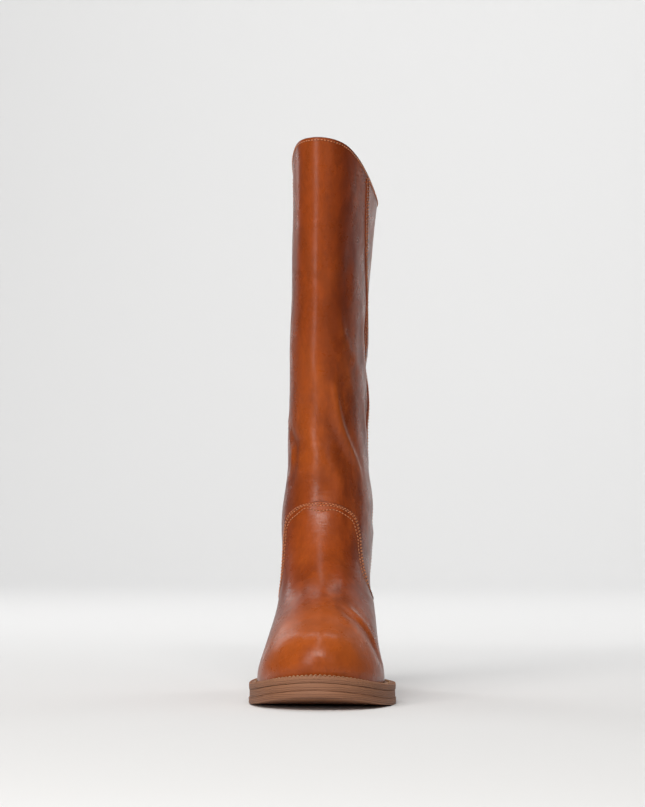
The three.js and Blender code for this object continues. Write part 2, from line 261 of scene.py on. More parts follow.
def merged_copy(node, name):
    """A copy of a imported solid, its loose triangles merged into quads."""
    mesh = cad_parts[node].data.copy()
    mesh.name = name
    mesh.materials.clear()
    piece = add_piece(name, mesh)
    bpy.ops.object.mode_set(mode="EDIT")
    bpy.ops.mesh.select_mode(type="EDGE")
    bpy.ops.mesh.select_all(action="SELECT")
    bpy.ops.mesh.customdata_custom_splitnormals_clear()
    bpy.ops.mesh.remove_doubles(threshold=0.01 * MM)
    flat = math.radians(WALL_ANGLE)
    bpy.ops.mesh.tris_convert_to_quads(face_threshold=flat, shape_threshold=flat)
    bpy.ops.mesh.select_all(action="DESELECT")
    bpy.ops.object.mode_set(mode="OBJECT")
    return piece


def refine(piece, levels, edge_angle, bevel, rim_material=OWN_MATERIAL):
    """Subdivides a merged copy, its edges kept and then softly rounded, in rim_material if given."""
    select_only(piece)
    bpy.ops.object.mode_set(mode="EDIT")
    bpy.ops.mesh.edges_select_sharp(sharpness=math.radians(edge_angle))
    bpy.ops.transform.edge_crease(value=1)
    bpy.ops.object.mode_set(mode="OBJECT")
    if levels:
        apply_modifier(piece, "SUBSURF", levels=levels, render_levels=levels)
    apply_modifier(piece, "BEVEL", width=bevel, segments=2, material=rim_material,
                   limit_method="ANGLE", angle_limit=math.radians(edge_angle))
    bpy.ops.object.shade_smooth_by_angle(angle=math.radians(SMOOTH_ANGLE))


def coordinates(piece, what="co"):
    """The piece's vertices, or what else is asked of them, as rows."""
    found = np.empty(len(piece.data.vertices) * 3)
    piece.data.vertices.foreach_get(what, found)
    return found.reshape(-1, 3)


def move_vertices(piece, points):
    piece.data.vertices.foreach_set("co", points.ravel())
    piece.data.update()


def write_attribute(piece, name, values):
    """One number a vertex, which a material reads by its name."""
    made = piece.data.attributes.new(name, "FLOAT", "POINT")
    made.data.foreach_set("value", np.asarray(values, dtype=np.float32))


def surface_of(piece, wall=None):
    """A tree that finds the nearest point of a piece, or of one of its walls, and where a ray meets it."""
    shape = bmesh.new()
    shape.from_mesh(piece.data)
    if wall is not None:
        others = [f for f in shape.faces if f.material_index != wall]
        bmesh.ops.delete(shape, geom=others, context="FACES")
    tree = BVHTree.FromBMesh(shape)
    shape.free()
    return tree


def finish_piece(piece, slot, *replaced):
    """Says what the piece rides on and which solids it stands for; its slot, what it is made of, is not
    used.
    """
    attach(piece, BODY)
    if replaced:
        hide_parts(*replaced)


def spread_along(points, pitch, closed=False):
    """Points at an even pitch along a line of points."""
    line = [Vector(p) for p in points]
    if closed:
        line.append(line[0])
    steps = [0.0]
    for before, after in zip(line, line[1:]):
        steps.append(steps[-1] + (after - before).length)
    count = max(1, round(steps[-1] / pitch))
    wanted = np.linspace(0, steps[-1], count + 1)
    if closed:
        wanted = wanted[:-1]
    line = np.array(line)
    return [Vector(np.interp(w, steps, line[:, i]) for i in range(3)) for w in wanted]


def softened(points, rounds, closed=False):
    """A line whose points are drawn towards their neighbours, ends kept."""
    line = np.array([list(p) for p in points])
    for _ in range(rounds):
        if closed:
            middle = (np.roll(line, 1, axis=0) + np.roll(line, -1, axis=0)) / 2
            line = (line + middle) / 2
        else:
            line[1:-1] = (line[1:-1] + (line[:-2] + line[2:]) / 2) / 2
    return [Vector(p) for p in line]


def is_sharp(edge, angle):
    return edge.is_manifold and edge.calc_face_angle(0) > math.radians(angle)


def wall_loops(piece):
    """Closed lines where the outer wall of a leather piece meets its cut edge, longest first."""
    return edge_loops(piece, lambda e: [f.material_index for f in e.link_faces].count(OUTER) == 1)


def edge_loops(piece, chosen):
    """Closed lines of the chosen edges, longest first, as lists of points."""
    shape = bmesh.new()
    shape.from_mesh(piece.data)
    ends = {}
    for edge in filter(chosen, shape.edges):
        first, last = edge.verts
        for vert, other in ((first, last), (last, first)):
            ends.setdefault(vert.index, []).append(other.index)
    places = {v.index: v.co.copy() for v in shape.verts}
    shape.free()
    loops = []
    unused = set(ends)
    while unused:
        start = min(unused)
        loop = [start]
        unused.discard(start)
        while True:
            after = [v for v in ends[loop[-1]] if v in unused]
            if not after:
                break
            loop.append(after[0])
            unused.discard(after[0])
        loops.append([places[v] for v in loop])
    return sorted(loops, key=perimeter, reverse=True)


def perimeter(loop):
    return sum((a - b).length for a, b in zip(loop, loop[1:] + loop[:1]))


# ---------------------------------------------------------------- stitches

STITCH_SINK = 0.35  # share of its height that a stitch lies in the leather
STITCH_TIP = 0.08  # square of a tip's width against the middle's


def stitch_shape(length, width, height, turns=6, rings=5):
    """One thread of a seam along X: it dives into the leather at both ends."""
    points = []
    faces = []
    for ring in range(rings):
        share = ring / (rings - 1) * 2 - 1
        swell = math.sqrt(max(STITCH_TIP, 1 - share ** 4))
        rise = height * (1 - share ** 2) - height * STITCH_SINK
        for turn in range(turns):
            angle = 2 * math.pi * turn / turns
            points.append((
                share * length / 2,
                math.cos(angle) * width / 2 * swell,
                math.sin(angle) * width / 2 * swell + rise,
            ))
    for ring in range(rings - 1):
        for turn in range(turns):
            after = (turn + 1) % turns
            low = ring * turns
            faces.append((low + turn, low + turns + turn, low + turns + after, low + after))
    faces.append(tuple(range(turns)))
    last = (rings - 1) * turns
    faces.append(tuple(range(last + turns - 1, last - 1, -1)))
    return np.array(points), faces


def lay_copies(name, shape, frames):
    """One mesh of a shape repeated at frames of (place, along, out)."""
    points, faces = shape
    all_points = []
    all_faces = []
    for place, along, out in frames:
        out = out.normalized()
        along = (along - out * along.dot(out)).normalized()
        across = out.cross(along)
        turn = np.array([along, across, out])
        base = len(all_points) * len(points)
        all_points.append(points @ turn + np.array(place))
        all_faces.extend(tuple(base + i for i in face) for face in faces)
    mesh = bpy.data.meshes.new(name)
    mesh.from_pydata(np.concatenate(all_points).tolist(), [], all_faces)
    mesh.validate()
    piece = add_piece(name, mesh)
    bpy.ops.object.mode_set(mode="EDIT")
    bpy.ops.mesh.select_all(action="SELECT")
    bpy.ops.mesh.normals_make_consistent(inside=False)
    bpy.ops.object.mode_set(mode="OBJECT")
    bpy.ops.object.shade_smooth()
    return piece


def row_frames(surface, points, pitch, closed=False):
    """Frames on a surface at an even pitch along a row of points."""
    row = spread_along(points, pitch, closed)
    frames = []
    for i, point in enumerate(row):
        before = row[i - 1] if i or closed else row[0]
        after = row[(i + 1) % len(row)] if i + 1 < len(row) or closed else row[-1]
        place, out, _, _ = surface.find_nearest(point)
        frames.append((place, after - before, out))
    return frames


TANGENT_STEPS = 4  # points each way that give a row its direction


def inset_row(surface, points, inset, inward, closed=False):
    """A row moved over the surface by an inset, to the side that inward(point, side) prefers."""
    moved = []
    count = len(points)
    for i, point in enumerate(points):
        near = (i - TANGENT_STEPS, i + TANGENT_STEPS)
        before, after = (points[n % count if closed else min(max(n, 0), count - 1)] for n in near)
        _, out, _, _ = surface.find_nearest(point)
        side = out.cross(after - before).normalized()
        if not inward(point, side):
            side = -side
        place, _, _, _ = surface.find_nearest(point + side * inset)
        moved.append(place)
    return moved


# ---------------------------------------------------------------- folds

# Folds that wear and slouch leave in the leather, in mm. Depth is a trough's, and a ridge is negative.
# Seen from a side of the boot, points are (across, height): across is X from the front and back,
# and Y from the inner and outer sides. Seen from above they are (X, Y).
Fold = namedtuple("Fold", "seen depth width points")
FOLDS = (
    Fold("front", -1.5, 4.0, ((13, 286), (15, 272), (20, 255), (25, 244), (28, 234))),
    Fold("inner", 2.2, 9.0, ((-42, 288), (-38, 266), (-32, 250), (-24, 240))),
    Fold("front", 1.2, 7.0, ((1, 262), (6, 250), (11, 238), (16, 226), (21, 212))),
    Fold("front", -1.9, 4.0, ((12, 242), (11, 226), (12, 212), (15.5, 198), (20, 186), (25, 174),
         (29.5, 160))),
    Fold("inner", 2.6, 10.0, ((-46, 234), (-42, 214), (-36, 198), (-28, 182), (-20, 170))),
    Fold("front", 1.1, 7.0, ((-2, 206), (4, 196), (12, 183), (19, 170), (25, 154))),
    Fold("front", -1.3, 4.0, ((-29, 214), (-27, 202), (-24, 190), (-21, 178), (-23, 166), (-29, 156))),
    Fold("outer", 2.0, 9.0, ((-46, 210), (-40, 192), (-36, 176), (-26, 166))),
    Fold("front", 0.8, 7.0, ((-31, 196), (-24, 190), (-16, 186), (-8, 184))),
    Fold("front", 0.5, 8.0, ((-26, 160), (-18, 157), (-8, 155), (2, 154), (12, 157))),
    Fold("front", 0.6, 8.0, ((22, 340), (20, 318), (16, 296), (10, 274))),
    Fold("inner", 1.3, 7.0, ((-46, 172), (-30, 164), (-12, 160), (6, 163), (20, 170))),
    Fold("inner", -0.8, 6.0, ((-38, 190), (-20, 180), (0, 176), (16, 182))),
    Fold("inner", 1.0, 7.0, ((-40, 214), (-22, 202), (-2, 196), (18, 199))),
    Fold("inner", 0.9, 8.0, ((-40, 258), (-20, 240), (0, 232), (16, 238))),
    Fold("inner", 1.0, 7.0, ((-58, 124), (-44, 130), (-28, 130), (-12, 122))),
    Fold("outer", 1.2, 7.0, ((-44, 178), (-26, 166), (-8, 160), (8, 163), (20, 172))),
    Fold("outer", -0.8, 6.0, ((-34, 196), (-16, 184), (4, 180), (18, 188))),
    Fold("outer", 1.0, 8.0, ((-36, 224), (-18, 210), (2, 204), (20, 210))),
    Fold("outer", 0.8, 8.0, ((-36, 276), (-18, 262), (2, 252), (16, 256))),
    Fold("outer", 1.0, 7.0, ((-56, 126), (-42, 132), (-28, 130), (-12, 120))),
    Fold("back", 1.4, 6.0, ((-26, 158), (-12, 152), (2, 150), (16, 153), (28, 160))),
    Fold("back", 1.1, 6.5, ((-24, 180), (-10, 174), (6, 173), (22, 181))),
    Fold("back", 0.9, 7.0, ((-20, 206), (-6, 200), (10, 200), (22, 207))),
    Fold("above", -1.6, 4.0, ((23, -164), (28, -170), (33, -173), (39, -172), (44, -168), (48, -162),
         (50, -154))),
    Fold("above", 0.7, 6.0, ((24, -176), (32, -181), (40, -180), (46, -174))),
    Fold("above", -0.3, 11.0, ((-24, -198), (-17, -206), (-8, -213), (4, -218), (15, -219), (25, -215),
         (34, -208), (41, -199))),
    Fold("above", 0.6, 11.0, ((-19, -190), (-10, -197), (2, -202), (14, -204), (25, -200), (34, -194))),
    Fold("above", 0.9, 9.0, ((34, -104), (42, -116), (49, -130))),
    Fold("above", 0.3, 12.0, ((-24, -140), (-8, -146), (8, -148), (24, -146), (38, -142))),
)
FAR = 1  # metres from which a ray looks for the leather
OVER_FOOT = 0.13  # and the height from which it looks down on the foot
SIDES = {
    "front": lambda a, b: (Vector((a * MM, -FAR, b * MM)), Vector((0, 1, 0))),
    "back": lambda a, b: (Vector((a * MM, FAR, b * MM)), Vector((0, -1, 0))),
    "inner": lambda a, b: (Vector((FAR, a * MM, b * MM)), Vector((-1, 0, 0))),
    "outer": lambda a, b: (Vector((-FAR, a * MM, b * MM)), Vector((1, 0, 0))),
    "above": lambda a, b: (Vector((a * MM, b * MM, OVER_FOOT)), -UP),
}
SAMPLES_PER_FOLD = 28
FADE_POWER = 0.8  # under 1, a fold keeps its depth for longer before it fades
FOLD_REACH = 0.12  # metres from a fold's middle past which it does nothing
BANK_SHARE = 0.45  # height of a fold's banks against its depth
BANK_PLACE = 1.7  # how far out they lie, in widths
BANK_SHARPNESS = 1.6


def curve_through(points, count):
    """A count of places along a Catmull-Rom line through points, whose ends run on straight."""
    known = [np.array(point) for point in points]
    line = [2 * known[0] - known[1], *known, 2 * known[-1] - known[-2]]
    made = []
    for i in range(count):
        place = i / (count - 1) * (len(points) - 1)
        start = min(int(place), len(points) - 2)
        t = place - start
        a, b, c, d = line[start:start + 4]
        made.append(0.5 * (2 * b + (c - a) * t + (2 * a - 5 * b + 4 * c - d) * t * t
                           + (3 * b - a - 3 * c + d) * t ** 3))
    return made


def fold_lines(surface):
    """Each fold as samples on the leather, with its depth, its width and a fade towards its ends."""
    lines = []
    for fold in FOLDS:
        samples = []
        for across, height in curve_through(fold.points, SAMPLES_PER_FOLD):
            origin, direction = SIDES[fold.seen](across, height)
            place, _, _, _ = surface.ray_cast(origin, direction)
            if place is not None:
                samples.append(place)
        if len(samples) < 2:
            raise RuntimeError(f"a fold seen from the {fold.seen} misses the leather")
        share = np.linspace(0, 1, len(samples))
        fade = np.sin(math.pi * share) ** FADE_POWER
        lines.append((np.array(samples), fold.depth * MM, fold.width * MM, fade))
    return lines


def fold_heights(points, lines):
    """How far each point is pushed out by the folds: a trough between two soft banks."""
    heights = np.zeros(len(points))
    for samples, depth, width, fade in lines:
        near = np.linalg.norm(points - samples.mean(axis=0), axis=1) < FOLD_REACH
        gaps = np.linalg.norm(points[near, None, :] - samples[None, :, :], axis=2)
        nearest = gaps.argmin(axis=1)
        away = gaps[np.arange(len(gaps)), nearest] / width
        trough = np.exp(-away ** 2)
        banks = np.exp(-(away - BANK_PLACE) ** 2 * BANK_SHARPNESS)
        heights[near] -= depth * fade[nearest] * (trough - BANK_SHARE * banks)
    return heights


# ---------------------------------------------------------------- materials

def burnished_calf():
    """Calf leather, drum dyed and hand burnished: mottled cognac with dark clouds and a waxed shine, with
    painted shade and painted light laid in from the pieces' attributes.
    """
    made, tree, shader = new_material("burnished_calf")
    c = colours()
    where = place_in(tree)
    tall = place_in(tree, (1.0, 1.0, 0.45))
    clouds = between(tree, noise(tree, tall, 60 * MM, 3.0, 0.6, 0.4), 0.40, 0.66)
    patches = between(tree, noise(tree, tall, 22 * MM, 4.0, 0.65, 0.8), 0.41, 0.64)
    flecks = between(tree, noise(tree, where, 5 * MM, 5.0, 0.7), 0.42, 0.70)
    mottle = between(tree, noise(tree, tall, 9 * MM, 5.0, 0.7, 0.5), 0.36, 0.64)
    # Painted shade and darker tone from the "dark" attribute, broken up by the mottle: nowhere less than
    # 0.45 of what the attribute says.
    uneven = maths(tree, "MULTIPLY_ADD", mottle, 0.6, 0.45)
    # Polish lies unevenly too, so the shine breaks up in soft patches.
    polish = noise(tree, where, 14 * MM, 4.0, 0.6)
    set_inputs(tree, shader, {
        "Base Color": layered(tree, c.leather, (
            (clouds, 0.42, c.leather_light),
            (patches, 0.55, c.leather_dark),
            (mottle, 0.28, c.leather_dark),
            # Painted shade in the folds, behind the toe box and down the shaft's inner front, with darker
            # tone at the ankle and the welt.
            (maths(tree, "MULTIPLY", attribute(tree, "dark"), uneven), 0.75, c.leather_dark),
            # Painted light on the toe, the vamp's middle, the shaft's outer front and the crests of the
            # folds.
            (attribute(tree, "painted_light"), 0.8, c.leather_light),
            (flecks, 0.16, c.leather_dark),
        )),
        "Roughness": between(tree, polish, 0.3, 0.75, 0.25, 0.37),
        "IOR": 1.45,
        "Specular IOR Level": 0.28,
        "Coat Weight": 0.05,
        "Coat Roughness": 0.24,
        "Normal": leather_bumps(tree, where),
    })
    return made


def leather_bumps(tree, where):
    """Slow waves, wrinkles that run round the leg, a 3 mm pebble and pores of 1.1 mm."""
    pores = add_node(
        tree,
        "ShaderNodeTexVoronoi",
        {"feature": "SMOOTH_F1"},
        {"Vector": where, "Scale": 1 / (1.1 * MM), "Smoothness": 0.6},
    ).outputs["Distance"]
    around = place_in(tree, (0.35, 0.35, 2.2))
    made = None
    for height, depth, strength in (
        (noise(tree, where, 26 * MM, 2.0, 0.5), 1.3 * MM, 0.6),
        (noise(tree, around, 7 * MM, 5.0, 0.62, 0.6), 0.4 * MM, 0.45),
        (noise(tree, where, 3 * MM, 3.0, 0.6), 0.22 * MM, 0.6),
        (pores, 0.10 * MM, 0.4),
    ):
        made = bump(tree, height, depth, strength, made)
    return made


def smooth_leather(name, tones, stain_size, stain_detail, roughness, pore_size):
    """Undyed leather without a shine: stained between two tones, and finely pored."""
    made, tree, shader = new_material(name)
    where = place_in(tree)
    stains = between(tree, noise(tree, where, stain_size, stain_detail, 0.6), 0.35, 0.7)
    set_inputs(tree, shader, {
        "Base Color": blend_colours(tree, stains, *map(linear, tones)),
        "Roughness": roughness,
        "Normal": bump(tree, noise(tree, where, pore_size, 3.0, 0.6), 0.12 * MM, 0.5),
    })
    return made


def leather_lining():
    """Undyed pigskin lining, glazed smooth: pale, matte and finely pored."""
    return smooth_leather("pigskin_lining", (colours().lining, "#99724A"), 16 * MM, 4.0, 0.72, 0.9 * MM)


def footbed_leather():
    """Vegetable-tanned insole: pale brown, with wide soft stains."""
    return smooth_leather("footbed_leather", (colours().footbed, "#8F6238"), 30 * MM, 3.0, 0.62, 1.2 * MM)


def dyed_edge():
    """Cut edge of the leather, inked and rubbed: almost black brown with a low shine."""
    made, tree, shader = new_material("inked_edge")
    fibres = noise(tree, place_in(tree), 0.8 * MM, 4.0, 0.7)
    set_inputs(tree, shader, {
        "Base Color": blend_colours(tree, fibres, linear(colours().cut_edge), linear("#6B3218")),
        "Roughness": 0.55,
        "Normal": bump(tree, fibres, 0.1 * MM, 0.5),
    })
    return made


def waxed_thread(name, tone):
    """Waxed polyester thread, twisted: a soft shine with fine slanting plies."""
    made, tree, shader = new_material(name)
    plies = add_node(
        tree,
        "ShaderNodeTexWave",
        {"wave_type": "BANDS", "bands_direction": "DIAGONAL"},
        {"Vector": place_in(tree), "Scale": 1 / (3.2 * MM), "Distortion": 1.0},
    ).outputs["Fac"]
    set_inputs(tree, shader, {
        "Base Color": layered(tree, tone, ((plies, 0.35, colours().leather_dark),)),
        "Roughness": 0.5,
        "Normal": bump(tree, plies, 0.12 * MM, 0.5),
    })
    return made


def stacked_sole():
    """Layers trimmed, sanded and waxed: matte tan with fine lines along the edge."""
    made, tree, shader = new_material("trimmed_sole_edge")
    c = colours()
    stains = between(tree, noise(tree, place_in(tree), 18 * MM, 4.0, 0.65), 0.38, 0.7)
    fibres = noise(tree, place_in(tree, (1.0, 0.35, 3.0)), 1.6 * MM, 4.0, 0.7)
    lines = edge_lines(tree, attribute(tree, "layer_height"))
    raised = maths(tree, "SUBTRACT", 1.0, lines)
    set_inputs(tree, shader, {
        "Base Color": layered(tree, c.sole, (
            (stains, 0.45, "#7E5138"),
            (fibres, 0.24, "#B58A66"),
            (lines, 0.75, c.groove),
        )),
        "Roughness": between(tree, fibres, 0.3, 0.7, 0.56, 0.72),
        "Normal": bump(tree, raised, 0.25 * MM, 0.7, bump(tree, fibres, 0.10 * MM, 0.5)),
    })
    return made


EDGE_LINES = ((1.1, 0.22), (2.3, 0.16), (3.6, 0.16))  # height up a layer and half width, in mm
CLEAR_OF_LINES = 10.0  # a height with no groove


def edge_lines(tree, height):
    """Fine grooves of the edge iron: 1 in a groove and 0 between them."""
    total = None
    for level, half_width in EDGE_LINES:
        away = maths(tree, "ABSOLUTE", maths(tree, "SUBTRACT", height, level))
        line = between(tree, away, half_width * 0.3, half_width * 1.5, 1.0, 0.0)
        total = line if total is None else maths(tree, "MAXIMUM", total, line)
    return total


def studio_paper():
    """Seamless background paper: matt, even and pale, with a faint tooth."""
    made, tree, shader = new_material("studio_paper")
    tooth = noise(tree, place_in(tree), 1.5 * MM, 2.0)
    set_inputs(tree, shader, {
        "Base Color": layered(tree, colours().studio, ((tooth, 0.03, "#DEDEDE"),)),
        "Roughness": 0.95,
        "Specular IOR Level": 0.1,
    })
    return made


MATERIALS = {}


def material(name):
    """Each finish, made once."""
    makers = {
        "calf": burnished_calf,
        "lining": leather_lining,
        "edge": dyed_edge,
        "thread": lambda: waxed_thread("waxed_thread", colours().thread),
        "welt_thread": lambda: waxed_thread("waxed_welt_thread", "#B98F68"),
        "sole": stacked_sole,
        "footbed": footbed_leather,
        "paper": studio_paper,
    }
    if name not in MATERIALS:
        MATERIALS[name] = makers[name]()
    return MATERIALS[name]


def give(piece, *names):
    piece.data.materials.clear()
    for name in names:
        piece.data.materials.append(material(name))


# ---------------------------------------------------------------- leather pieces

# A line up the middle of the foot and leg: X from the upper's middle, Y and Z, in metres.
LEG_LINE = ((0.006, -0.215, 0.026), (0.004, -0.12, 0.036), (-0.002, -0.04, 0.056),
            (-0.006, -0.010, 0.110), (-0.002, -0.006, SHAFT_TOP))


def leg_centre(points):
    """For each point, the nearest point of the leg's middle line."""
    upper_low, upper_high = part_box("upper")
    line = np.array(LEG_LINE) + ((upper_low.x + upper_high.x) / 2, 0, 0)
    best = np.full(len(points), np.inf)
    found = np.zeros_like(points)
    for start, end in zip(line, line[1:]):
        run = end - start
        share = np.clip(((points - start) @ run) / (run @ run), 0, 1)
        place = start + share[:, None] * run
        gap = np.linalg.norm(points - place, axis=1)
        nearer = gap < best
        best[nearer] = gap[nearer]
        found[nearer] = place[nearer]
    return found


def facing_out(points, directions):
    """+1 where a direction points out of the leg and -1 where it points into it."""
    return np.where(((points - leg_centre(points)) * directions).sum(axis=1) > 0, 1.0, -1.0)


OUTER, LINING, EDGE = range(3)
SIDE_SIGNS = {"inner": 1, "outer": -1}  # sign of X on each side of the boot


def mark_walls(piece):
    """Gives the outer wall, the inner wall and the cut edge between them a material each."""
    shape = bmesh.new()
    shape.from_mesh(piece.data)
    sharp = {e for e in shape.edges if is_sharp(e, WALL_ANGLE)}
    rims = {f for f in shape.faces if sum(e in sharp for e in f.edges) >= 2}
    unseen = set(shape.faces) - rims
    walls = []
    while unseen:
        wall = {unseen.pop()}
        border = list(wall)
        while border:
            near = {f for e in border.pop().edges for f in e.link_faces} & unseen
            unseen -= near
            wall |= near
            border.extend(near)
        walls.append(wall)
    walls.sort(key=lambda wall: sum(f.calc_area() for f in wall), reverse=True)
    for face in rims:
        face.material_index = EDGE
    for index, wall in enumerate(walls[:2]):
        for face in wall:
            face.material_index = index
    shape.to_mesh(piece.data)
    shape.free()
    sides = np.zeros(len(piece.data.vertices))
    for face in piece.data.polygons:
        if face.material_index == LINING:
            sides[list(face.vertices)] = -1
        elif face.material_index == OUTER:
            sides[list(face.vertices)] = 1
    write_attribute(piece, "side", sides)


def read_attribute(piece, name):
    found = np.empty(len(piece.data.vertices), dtype=np.float32)
    piece.data.attributes[name].data.foreach_get("value", found)
    return found


TOE_BACK = -0.165  # where the toe box starts
TOE_EASE = 0.02  # and the length over which it does
RELAX_ROUNDS = 22
RELAX_STEP = 0.5


def even_toe(piece):
    """Evens out the curve of the toe box, whose facets are coarse, and keeps its size."""
    old = coordinates(piece)
    x, y, z = old.T
    share = np.clip((TOE_BACK - y) / TOE_EASE, 0, 1) * np.clip((z - FEATHER_Z - 1 * MM) / (4 * MM), 0, 1)
    ends = np.empty(len(piece.data.edges) * 2, dtype=np.int64)
    piece.data.edges.foreach_get("vertices", ends)
    first, last = ends.reshape(-1, 2).T
    near = np.maximum(np.bincount(first, minlength=len(old)) + np.bincount(last, minlength=len(old)), 1)
    new = old.copy()
    for _ in range(RELAX_ROUNDS):
        total = np.zeros_like(new)
        np.add.at(total, first, new[last])
        np.add.at(total, last, new[first])
        new += (total / near[:, None] - new) * (RELAX_STEP * share)[:, None]
    outward = coordinates(piece, "normal")
    side = read_attribute(piece, "side")
    toe = (share > 0.9) & (side > 0)
    lost = ((old - new) * outward)[toe].sum(axis=1).mean()
    move_vertices(piece, new + outward * (np.where(side < 0, -1.0, 1.0) * lost * share)[:, None])


def shape_leather(piece, lines):
    """Pushes the folds into a piece and writes where shade is painted and the leather is darker, and where
    light is painted.
    """
    points = coordinates(piece)
    outward = coordinates(piece, "normal")
    side = np.where(read_attribute(piece, "side") < 0, -1.0, 1.0)
    heights = fold_heights(points, lines)
    heights += slouch(points)
    move_vertices(piece, points + outward * (side * heights)[:, None])
    write_attribute(piece, "dark", shade_and_darkening(points, heights))
    write_attribute(piece, "painted_light", painted_highlights(points, heights))


SWELL = 0.55 * MM  # height of a slow swell


def slouch(points):
    """Slow swells of soft leather down the shaft."""
    x, y, z = points.T
    turn = np.arctan2(x, -y)
    fade = np.clip((z - 0.11) / 0.05, 0, 1) * np.clip((SHAFT_TOP - 0.03 - z) / 0.05, 0, 1)
    swell = np.sin(turn * 3 + z * 31) * np.sin(z * 58 + turn)
    return SWELL * swell * fade


def bell(values, middle, width):
    return np.exp(-((values - middle) / width) ** 2)


def shade_and_darkening(points, heights):
    """Painted shade in the folds' troughs, behind the toe box where the vamp bends and, as a dark
    reflection, down the shaft's inner front; darker also round the front of the ankle and along the welt.
    """
    x, y, z = points.T
    # Painted shade: a dark reflection down the shaft's inner front.
    inner_front_shade = bell(x, 0.011, 0.010) * (y < -0.01) * np.clip((z - 0.15) / 0.06, 0, 1)
    ankle = 0.45 * bell(z, 0.115, 0.035) * bell(y, -0.06, 0.04)
    # Painted shade behind the toe box, where the vamp bends.
    bend_shade = 0.35 * bell(y, -0.140, 0.026) * (z < 0.085)
    feather = 0.35 * np.clip((FEATHER_Z + 0.012 - z) / 0.010, 0, 1)
    # Painted shade in the folds' troughs.
    trough_shade = np.clip(-heights / (1.2 * MM), 0, 1) * 0.55
    return np.clip(0.65 * inner_front_shade + ankle + bend_shade + feather + trough_shade, 0, 1)


def painted_highlights(points, heights):
    """Painted light on the toe and the vamp's middle, which face the lights, and painted highlights down
    the shaft's outer front and on the crests of the folds.
    """
    x, y, z = points.T
    # Painted light on the toe and the vamp's middle.
    toe = 0.75 * bell(y, -0.205, 0.036) * (z < 0.09)
    vamp = 0.45 * bell(x, 0.002, 0.018) * bell(y, -0.125, 0.022)
    # Painted highlight down the shaft's outer front, where the key light mirrors.
    outer_front_highlight = 0.2 * bell(x, -0.016, 0.012) * (y < 0) * (z > 0.10)
    # Painted highlight on the crests of the folds.
    crest_highlight = np.clip(heights / (1.0 * MM), 0, 1) * 0.3
    return np.clip(toe + vamp + outer_front_highlight + crest_highlight, 0, 1)


class BOOT_OT_upper(bpy.types.Operator):
    """Make the leather upper with its folds, lining and cut edge"""

    bl_idname = "boot.upper"
    bl_label = "Upper"

    def execute(self, context):
        piece = merged_copy("upper", "upper_leather")
        give(piece, "calf", "lining", "edge")
        mark_walls(piece)
        STORE["collar"] = collar_line(piece)
        refine(piece, 2, WALL_ANGLE, 0.5 * MM, EDGE)
        even_toe(piece)
        STORE["folds"] = fold_lines(surface_of(piece, OUTER))
        shape_leather(piece, STORE["folds"])
        STORE["upper"] = surface_of(piece, OUTER)
        finish_piece(piece, "tan_leather", "upper")
        return {"FINISHED"}


class BOOT_OT_vamp(bpy.types.Operator):
    """Make the vamp laid over the foot, with the same folds as the upper under it"""

    bl_idname = "boot.vamp"
    bl_label = "Vamp"

    def execute(self, context):
        piece = merged_copy("vamp", "vamp_leather")
        give(piece, "calf", "lining", "edge")
        mark_walls(piece)
        STORE["vamp_edge"] = vamp_edge_line(piece)
        refine(piece, 2, WALL_ANGLE, 0.4 * MM)
        even_toe(piece)
        shape_leather(piece, STORE["folds"])
        STORE["vamp"] = surface_of(piece, OUTER)
        finish_piece(piece, "tan_leather", "vamp")
        return {"FINISHED"}


COLLAR_SHARE = 0.7  # of the shaft's height: all of the collar is above it


def collar_line(piece):
    """The collar's outer edge as a closed line of points."""
    loops = [loop for loop in wall_loops(piece) if min(p.z for p in loop) > SHAFT_TOP * COLLAR_SHARE]
    return softened(spread_along(loops[0], 2 * MM, closed=True), 3, closed=True)


def vamp_edge_line(piece):
    """The vamp's free edge, from its outer side corner over the instep to its inner one."""
    loop = wall_loops(piece)[0]
    corners = []
    for side in SIDE_SIGNS.values():
        own = [i for i, point in enumerate(loop) if point.x * side >= 0]
        corners.append(max(own, key=lambda i: loop[i].y))
    low, high = sorted(corners)
    halves = loop[low:high + 1], loop[high:] + loop[:low + 1]
    arch = max(halves, key=lambda half: max(p.z for p in half))
    if arch[0].x > arch[-1].x:
        arch = arch[::-1]
    return softened(spread_along(arch, 1.5 * MM), 10)


# ---------------------------------------------------------------- seams and stitches

STITCH_LENGTH_SHARE = 0.72  # of the pitch that shows as thread
STITCH_HEIGHT_SHARE = 0.62  # of the thread's width
# Painted shade in the stitch holes, as low dark domes:
HOLE_WIDTH = 0.95 * MM
HOLE_HEIGHT = 0.12 * MM
HOLE_SINK = 0.36 * MM  # so that only a low dome shows
VAMP_ROWS = (1.5, 3.3, 7.4)  # rows of stitches from the vamp's edge, in mm
VAMP_MIDDLE = Vector((0.008, -0.120, 0.090))  # under the vamp, ahead of its edge and below its tongue
# A side seam's place along the foot at heights over the floor: it leaves the collar ahead of the
# shaft's middle and drifts back as it goes down to the heel.
SEAM_LINE = ((0.390, -0.063), (0.355, -0.057), (0.324, -0.046), (0.270, -0.032),
             (0.200, -0.022), (0.120, -0.019), (0.042, -0.018))
SEAM_STEPS = 110
OUTER_SEAM_BACK = 9 * MM  # how much further back the outer seam runs
# Half of a seam strip, from its middle out: (share of the half width, height in mm) of the flat
# middle, the piped edge and the side that dips into the leather.
HALF_PROFILE = ((0.30, 0.32), (0.62, 0.38), (0.80, 0.75), (1.0, 0.62), (1.12, 0.15), (1.22, -0.5))
SEAM_PROFILE = (*[(-share, height) for share, height in reversed(HALF_PROFILE)], (0.0, 0.34), *HALF_PROFILE)
SEAM_ROWS = (-0.52, 0.52)  # rows of stitches on a strip, as shares of its half width
STRIP_WALL = 0.5 * MM
